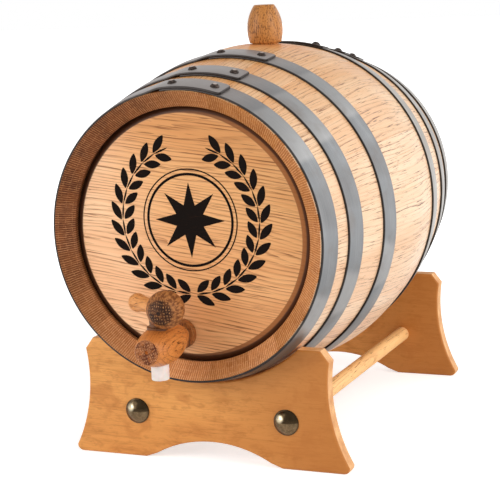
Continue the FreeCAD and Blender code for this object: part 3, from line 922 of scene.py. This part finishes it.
def make_bung():
    """Turned bung, with the knob's edges eased."""
    foot, top = knob_base - plug_length, knob_base + knob_height
    plug = [(0, foot), (plug_radius - plug_length * bung_taper, foot), (plug_radius, knob_base)]
    knob = arc_run((10.2, knob_base), (11.5, knob_base + 10.2), (6.5, top), 18)
    bm = placed(turned(plug + knob + [(0, top)], 72, ease=0.45), bung_x, bung_y, axis_height)
    woods = (turned_wood("bung_wood", 90, 0, 0, (206, 144, 78), (176, 112, 54), (92, 50, 20), 0.7),)
    settled(as_object("turned_bung", eased(bm), woods), "bung", "turned_oak", "bung")


make_bung()

# %% [markdown]
# ## Tap body
# The tap body is one turned stick: a tail driven into the head, a collar, a groove, a long belly and a
# bevelled nose.  The lathe's centre leaves a small pit in the nose, and the drive spur leaves short cuts
# round it.  The key's tapered hole is bored right through from top to bottom.

# %% Tap body
tail_length = 22.0
collar_radius = 9.1
collar_thickness = 4.5
groove_radius = 6.2
groove_end = 7.5
nose_end = 49.05
passage_radius = 2.3
key_radius = 5.95
key_reach = 26.0
key_taper = 0.042
spur_blade = (2.6, 0.6, 1.2)
spur_radius = 4.4
spur_turns = (20, 112, 196, 290)


def tap_profile():
    """Profile of the tap, with heights counted from the head's face towards the nose."""
    tail = [(0, -tail_length), (6.94, -tail_length), (tail_radius, 0.0)]
    collar = [(collar_radius, 0.0), (collar_radius, collar_thickness)]
    groove = [(groove_radius, collar_thickness), (groove_radius, groove_end)]
    belly = arc_run((7.0, groove_end), (12.2, 29.3), (7.9, 48.35), 24)
    pit = [(1.2, nose_end), (0.9, 48.0), (0, 47.2)]
    return tail + collar + groove + belly + [(7.2, nose_end)] + pit


def spur_cut(angle):
    """Short slot left by one blade of the lathe's drive spur."""
    bm = bmesh.new()
    bmesh.ops.create_cube(bm, size=1.0)
    bmesh.ops.scale(bm, vec=Vector(spur_blade) * mm, verts=bm.verts)
    bmesh.ops.translate(bm, vec=Vector((spur_radius, 0, nose_end + 0.05)) * mm, verts=bm.verts)
    return placed(bm, 0, 0, 0, yaw=angle)


def at_tap(bm):
    """Lay a shape that is drawn upwards along the tap's axis, pointing ahead."""
    return placed(bm, key_x, head_face, tap_height, pitch=90)


def make_tap_body():
    """Tap body with its key hole, flow passage and spur cuts."""
    bm = at_tap(turned(tap_profile(), 80, ease=0.4))
    nose = head_face - 49
    for face in bm.faces:
        place = face.calc_center_median().y / mm
        face.material_index = 1 if place < nose + 0.35 else 2 if place > head_face - 6 else 0
    ends = disc_wood("tap_nose_grain", (key_x, nose, tap_height), 0, 20, 0,
                     (184, 116, 70), (92, 42, 18), (216, 158, 112))
    collar = turned_wood("collar_wood", 90, 0, 0, (164, 100, 50), (130, 76, 36), (66, 34, 14), 0.6)
    piece = as_object("turned_tap_body", bm, (turned_wood("tap_wood", 0, 0, 0), ends, collar))
    key_hole = rod_bm(key_radius - key_reach * key_taper, 2 * key_reach, 64, key_taper)
    placed(key_hole, key_x, key_y, tap_height - key_reach)
    passage = at_tap(placed(rod_bm(passage_radius, 56), 0, 0, -tail_length - 1))
    bored(piece, key_hole, passage, *[at_tap(spur_cut(angle)) for angle in spur_turns])
    eased_again(piece)
    settled(piece, "cask", "turned_oak", "tap_body")


make_tap_body()

# %% [markdown]
# ## Key and spout
# The key is one moulding of milky white plastic: a tapered plug with a port in its side, the open spout
# below and a stub that carries the handle.  The plastic lets a little light through; its neck, in the
# shade between the tap body and the handle, is given a dark wood finish as painted shade.

# %% Key
def key_plastic():
    """Milky white plastic."""
    finish = Finish("milky_plastic", 0.35, Subsurface_Weight=0.25, Subsurface_Scale=0.003)
    clouds = finish.place.noise(6, 6, 6)
    return finish.done(clouds.band(0.3, 0.7).mix((238, 228, 220), (226, 214, 206)), clouds, 0.02)


handle_height = 23.5
handle_angle = 61.0
spout_drop = tap_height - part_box("tap_key")[0].z / mm
spout_radius = 5.3
spout_bore = 3.2
spout_top = 13.0
plug_top = 12.2
neck_radius = 4.8
neck_drop = 6.4
stub_radius = 3.5
stub_rise = 2.0


def make_key():
    """Hollow key, closed at the top, with its side port."""
    neck_top, stub_top = handle_height - neck_drop, handle_height + stub_rise
    spout = [(spout_bore, -spout_drop), (spout_radius, -spout_drop), (5.35, -spout_top)]
    plug = [(6.3, 9.6), (6.41, plug_top)]
    neck = [(neck_radius, plug_top), (neck_radius, neck_top), (stub_radius, neck_top), (stub_radius, stub_top)]
    hollow = [(0, stub_top), (0, 2.0), (passage_radius, 2.0), (passage_radius, -spout_top),
              (spout_bore, -spout_top)]
    bm = turned(spout + plug + neck + hollow, 64, ease=0.35, closed=True)
    # Painted shade: the key's neck between the tap body and the handle gets a dark wood finish.
    neck_shade = turned_wood("key_neck_painted_shade", 90, 0, 0, (116, 70, 36), (90, 52, 26), (48, 26, 12))
    for face in bm.faces:
        face.material_index = int(face.calc_center_median().z / mm > 10.0)
    piece = as_object("plastic_tap_key", placed(bm, key_x, key_y, tap_height), (key_plastic(), neck_shade))
    bored(piece, placed(rod_bm(passage_radius, 12), key_x, key_y, tap_height, pitch=-90, yaw=handle_angle))
    eased_again(piece)
    settled(piece, "tap_key", "white_plastic", "tap_key")


make_key()

# %% [markdown]
# ## Handle
# The handle is one small turned bar: a large ball at one end, a waist, and a small round knob at the
# other.  The key's neck comes up into the ball's near side, so the handle stands off centre over the key.

# %% Handle
ball_radius = 11.3
ball_place = 9.3
knob_radius = 5.65
knob_place = -19.85
joint_radius = 5.2
waist_radius = 4.4
key_play = 0.05


def handle_profile():
    """Profile of the handle, with heights counted from the key's axis towards the ball."""
    ball_foot = ball_place - math.sqrt(ball_radius ** 2 - joint_radius ** 2)
    ball_end = ball_place + math.sqrt(ball_radius ** 2 - 4.0 ** 2)
    knob_foot = knob_place + math.sqrt(knob_radius ** 2 - joint_radius ** 2)
    first, second = (joint_radius, knob_foot), (joint_radius, ball_foot)
    knob = arc_run((0.0, knob_place - knob_radius), (knob_radius, knob_place), first, 12)
    waist = arc_run(first, (waist_radius, (knob_foot + ball_foot) / 2), second, 8)
    ball = arc_run(second, (ball_radius, ball_place), (4.0, ball_end), 24)
    return knob + waist[1:] + ball[1:] + [(0.0, ball[-1][1])]


def make_handle():
    """Handle bored from below for the key's neck and stub."""
    height = tap_height + handle_height
    bm = turned(handle_profile(), 72, ease=0.4)
    for face in bm.faces:
        face.material_index = int(face.calc_center_median().z / mm > 3.4)
    placed(bm, key_x, key_y, height, pitch=90, yaw=handle_angle)
    ball = Matrix.Rotation(math.radians(handle_angle), 3, "Z") @ Vector((0, -ball_place, 0))
    ends = disc_wood("handle_end_grain", (key_x + ball.x, key_y + ball.y, height), 0, 0, -5,
                     (104, 60, 30), (44, 22, 10), (176, 122, 76), 0.0080)
    wood = turned_wood("handle_wood", 0, 0, -61, (236, 166, 98), (206, 132, 70), (124, 66, 30))
    piece = as_object("turned_tap_handle", bm, (wood, ends))
    bored(piece, *[placed(rod_bm(radius + key_play, 20), key_x, key_y, height + top + key_play - 20)
                   for radius, top in ((neck_radius, -neck_drop), (stub_radius, stub_rise))])
    eased_again(piece)
    settled(piece, "tap_key", "turned_oak", "tap_handle")


make_handle()

# %% [markdown]
# ## Cradle plates
# Two boards carry the cask.  Each outline is drawn once as a face: feet with an arch between, a waist,
# clipped horns and the round seat.  It is extruded to the board's thickness, its edges are rounded over
# with a bevel, and two blind sockets take the rods.  The sawn edges are lighter and rougher than the
# planed faces, so they get a finish of their own.

# %% Finishes of the cradle
def plate_wood():
    """Honey orange board, smooth, with faint level grain and soft darker blotches."""
    finish = Finish("cradle_board", 0.42, Specular_IOR_Level=0.25)
    place = finish.place.turn(0.0, -1.5, 90.0)
    colour, relief = oak_grain(place, (238, 168, 92), (220, 146, 74), (176, 106, 46), ring=7.0, swing=4.0,
                               line=0.25, pores=0.2, reach=160)
    colour = layered(
        colour,
        (place.noise(12, 20, 12, 4.0, 0.6, 0.8).band(0.46, 0.70, 0.0, 0.55), (186, 112, 50)),
        (place.noise(3.0, 7, 3.0, 3.0, 0.6).band(0.52, 0.70, 0.0, 0.35), (168, 100, 44)),
        (place.noise(0.9, 22, 0.9, 4.0, 0.7).band(0.50, 0.70, 0.0, 0.45), (176, 106, 50)),
        (finish.place.parts()[0].band(-0.03, 0.09, 0.0, 0.8), (178, 108, 46)))
    return finish.done(colour, relief, 0.02)


def edge_wood():
    """Sawn edge: paler, rough and speckled grey."""
    finish = Finish("cradle_edge", 0.62)
    clouds = finish.place.noise(9, 9, 9, 3.0)
    specks = finish.place.noise(0.7, 1.6, 0.7, 3.0, 0.6)
    colour = layered(
        clouds.band(0.3, 0.7).mix((232, 178, 120), (204, 140, 82)),
        (specks.band(0.55, 0.68, 0.0, 0.5), (150, 126, 104)))
    return finish.done(colour, specks, 0.15)


def rod_wood():
    """Light orange dowel with small dark pores."""
    finish = Finish("dowel_wood", 0.55, Specular_IOR_Level=0.3)
    colour, relief = oak_grain(finish.place, (250, 204, 140), (240, 180, 116), (176, 112, 60), ring=4.0,
                               line=0.4)
    return finish.done(colour, relief, 0.05)


board_finish, sawn_finish = plate_wood(), edge_wood()

# %% Plates
arch_offset = (middle("left_rod").x + middle("right_rod").x) / 2
rod_x = [middle("left_rod").x, middle("right_rod").x]
rod_height = middle("left_rod").z
foot_half_width = 93.0
foot_inner_edge = 46.4
foot_ease = 4.0
arch_half_width = 38.6
arch_foot = 2.8
arch_top = 13.0
waist_half_width = 80.8
horn_half_width = 82.2
horn_top_half_width = 76.8
horn_height = axis_height - 76.2
horn_top_height = axis_height - 69.2
plate_ease = 1.3
front_seat = back_radius(99.25) + 0.32
rear_seat = 90.9
socket_radius = 5.05
socket_reach = 6.05


def plate_outline(seat):
    """Outline of a plate as (x, z) points, from the arch's left round to its right."""
    reach = math.sqrt(seat ** 2 - (axis_height - horn_top_height) ** 2)
    turn = foot_ease * (1 - math.sqrt(0.5))
    arch = arc_run((arch_offset - arch_half_width, arch_foot), (arch_offset, arch_top),
                   (arch_offset + arch_half_width, arch_foot), 28)
    sides = []
    for side in (1, -1):
        heel, corner = (side * (foot_half_width - foot_ease), 0), (side * foot_half_width, foot_ease)
        foot = arc_run(heel, (side * (foot_half_width - turn), turn), corner, 4)
        waist = arc_run(corner, (side * waist_half_width, horn_height * 0.72),
                        (side * horn_half_width, horn_height), 22)
        inner, horn = (arch_offset + side * foot_inner_edge, 0), (side * horn_top_half_width, horn_top_height)
        sides.append([inner] + foot + waist[1:] + [horn])
    seat_run = arc_run((reach, horn_top_height), (0, axis_height - seat), (-reach, horn_top_height), 48)
    return arch + sides[0] + seat_run + sides[1][::-1]


def make_plate(node, seat, facing):
    """One plate between its CAD node's faces."""
    front, back = [corner.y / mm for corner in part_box(node)]
    bm = bmesh.new()
    bm.faces.new([bm.verts.new((x * mm, front * mm, z * mm)) for x, z in plate_outline(seat)])
    grown = bmesh.ops.extrude_face_region(bm, geom=bm.faces[:])["geom"]
    moved = [item for item in grown if isinstance(item, bmesh.types.BMVert)]
    bmesh.ops.translate(bm, vec=(0, (back - front) * mm, 0), verts=moved)
    bmesh.ops.recalc_face_normals(bm, faces=bm.faces)
    rims = [edge for edge in bm.edges if abs(edge.verts[0].co.y - edge.verts[1].co.y) < 1e-6]
    rounded(bm, rims, plate_ease, 4, clamp_overlap=True)
    for face in bm.faces:
        face.material_index = int(abs(face.normal.y) < 0.35)
    piece = as_object("board_" + node, eased(bm), (board_finish, sawn_finish))
    inner = back if facing < 0 else front
    bored(piece, *[placed(rod_bm(socket_radius, socket_reach), x, inner - facing, rod_height, pitch=-90 * facing)
                   for x in rod_x])
    settled(piece, "cradle", "cradle_wood", node)


make_plate("front_cradle_plate", front_seat, -1)
make_plate("rear_cradle_plate", rear_seat, 1)

# %% [markdown]
# ## Rods and caps
# Two dowels tie the plates together, and a domed cap of antique brass hides each joint from outside.
# Each cap has a painted highlight at its upper left and painted dark reflections over its upper half and round
# its rim.

# %% Rods and caps
rod_radius = 5.0
rod_bevel = 0.4
cap_radius = 8.1
cap_rise = 3.8


def cap_brass():
    """Antique brass: dark, greenish brown, with fine bright speckles, a painted highlight and painted dark
    reflections.
    """
    finish = Finish("antique_brass", 0.2, 1.0)
    flat = finish.uv("face")
    across, up, _ = flat.parts()
    clouds = finish.place.noise(3.2, 3.2, 3.2, 3.0, 0.6)
    specks = finish.place.noise(0.5, 0.5, 0.5, 2.0, 0.6)
    # Painted reflection: dark over the upper half of the dome, less on its left.
    dark_reflection = up.band(-0.0002, 0.0006) * across.band(-0.0030, -0.0012, 0.25, 1.0)
    # Painted highlight: a bright spot on the upper left of the dome.
    from_highlight = flat.turn(move=(3.4, -2.6, 0)).length()
    colour = layered(
        clouds.band(0.35, 0.7).mix((112, 94, 70), (88, 72, 52)),
        (specks.band(0.56, 0.68, 0.0, 0.35), (170, 146, 112)),
        (dark_reflection * 0.85, (38, 28, 16)),
        (from_highlight.band(0.0010, 0.0032, 0.8, 0.0), (206, 192, 162)),
        # Painted reflection: darker towards the rim.
        (flat.length().band(0.0070, 0.0078) * 0.6, (44, 32, 20)))
    return finish.done(colour, clouds, 0.03)


def make_rods():
    """Both dowels, with a slight bevel at each end."""
    for node, x in zip(("left_rod", "right_rod"), rod_x):
        start, end = [corner.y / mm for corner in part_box(node)]
        length = end - start
        tip = rod_radius - rod_bevel
        profile = [(0, 0), (tip, 0), (rod_radius, rod_bevel)]
        profile += [(rod_radius, length * share / 6) for share in range(1, 6)]
        profile += [(rod_radius, length - rod_bevel), (tip, length), (0, length)]
        bm = placed(turned(profile, 48), x, start, rod_height, pitch=-90)
        settled(as_object("dowel_" + node, eased(bm), (dowel_finish,)), "cradle", "rod_wood", node)


def make_caps():
    """Four domed caps as one piece."""
    dome = arc_run((7.6, 0.8), (5.0, 2.61), (0.0, cap_rise), 10)
    profile = [(0, 0), (cap_radius, 0), (cap_radius, 0.6)] + dome
    low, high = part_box("rod_caps")
    whole = bmesh.new()
    for foot, side in ((low.y / mm + cap_rise, 1), (high.y / mm - cap_rise, -1)):
        for x in rod_x:
            cap = turned(profile, 56, ease=0.2)
            flat = cap.loops.layers.uv.new("face")
            for face in cap.faces:
                for loop in face.loops:
                    loop[flat].uv = (loop.vert.co.x, loop.vert.co.y * side)
            gather(whole, placed(cap, x, foot, rod_height, pitch=90 * side))
    settled(as_object("brass_caps", eased(whole), (cap_brass(),)), "cradle", "antique_brass", "rod_caps")


dowel_finish = rod_wood()
make_rods()
make_caps()

# %% [markdown]
# ## Floor, light and camera
# The outfit stands on a plain white floor under a white sky, lit by large soft lamps at a plain level.
# The floor keeps its shadow; only for the eye of the camera, and for reflections, is it lifted to white.

# %% Floor and sky
def seen(nodes):
    """Rays that show the floor and the sky themselves: the camera's and those of reflections."""
    rays = {wire.socket.name: wire for wire in nodes.wires("LightPath")}
    return rays["Is Camera Ray"] + rays["Is Glossy Ray"] + rays["Is Transmission Ray"]


def make_floor():
    """Large pale floor that fades into the background."""
    bm = bmesh.new()
    bmesh.ops.create_grid(bm, x_segments=1, y_segments=1, size=6.0)
    finish = Finish("studio_floor", 0.9)
    glow = seen(finish).math("MINIMUM", 1.0) * finish.place.length().band(0.25, 0.8, 0.55, 1.0)
    finish.put(finish.shader, {"Emission Color": (1, 1, 1, 1), "Emission Strength": glow})
    as_object("studio_floor", bm, (finish.done((0.8, 0.8, 0.8, 1)),))


def make_sky():
    """White world for the camera and for reflections, and softer as a lamp."""
    world = bpy.data.worlds.new("studio_sky")
    bpy.context.scene.world = world
    sky = Nodes(world)
    level = sky.wire("MapRange", {"Value": seen(sky), "To Min": 0.45, "To Max": 1.0})
    sky.put(sky.tree.nodes["Background"], {"Color": (1, 1, 1, 1), "Strength": level})


make_floor()
make_sky()

# %% Lamps and camera
target = Vector((0, 0.02, 0.13))


def lamp(name, place, size, power):
    """Square soft lamp that faces the cask."""
    light = bpy.data.lights.new(name, "AREA")
    light.size = size
    light.energy = power
    holder = bpy.data.objects.new(name, light)
    holder.location = place
    holder.rotation_euler = (target - Vector(place)).to_track_quat("-Z", "Y").to_euler()
    bpy.context.scene.collection.objects.link(holder)


lamp("key_lamp", (1.2, -0.4, 0.75), 0.9, 10)
lamp("fill_lamp", (-0.9, -1.1, 0.6), 1.0, 11)
lamp("back_lamp", (0.9, 1.1, 0.6), 0.9, 4)
lamp("low_lamp", (1.2, 0.1, 0.18), 0.5, 2.5)

eye = Vector((400.45, cask_middle - 932.68, 304.12)) * mm
azimuth, elevation, roll = -0.4175, -0.1854, -0.0484
camera = bpy.data.objects.new("camera", bpy.data.cameras.new("camera"))
camera.data.lens = 111.09
camera.data.sensor_width = 36.0
camera.matrix_world = (Matrix.Translation(eye) @ Matrix.Rotation(-azimuth, 4, "Z")
                       @ Matrix.Rotation(math.pi / 2 + elevation, 4, "X") @ Matrix.Rotation(roll, 4, "Z"))
bpy.context.scene.collection.objects.link(camera)
bpy.context.scene.camera = camera
bpy.context.scene.view_settings.view_transform = "Standard"
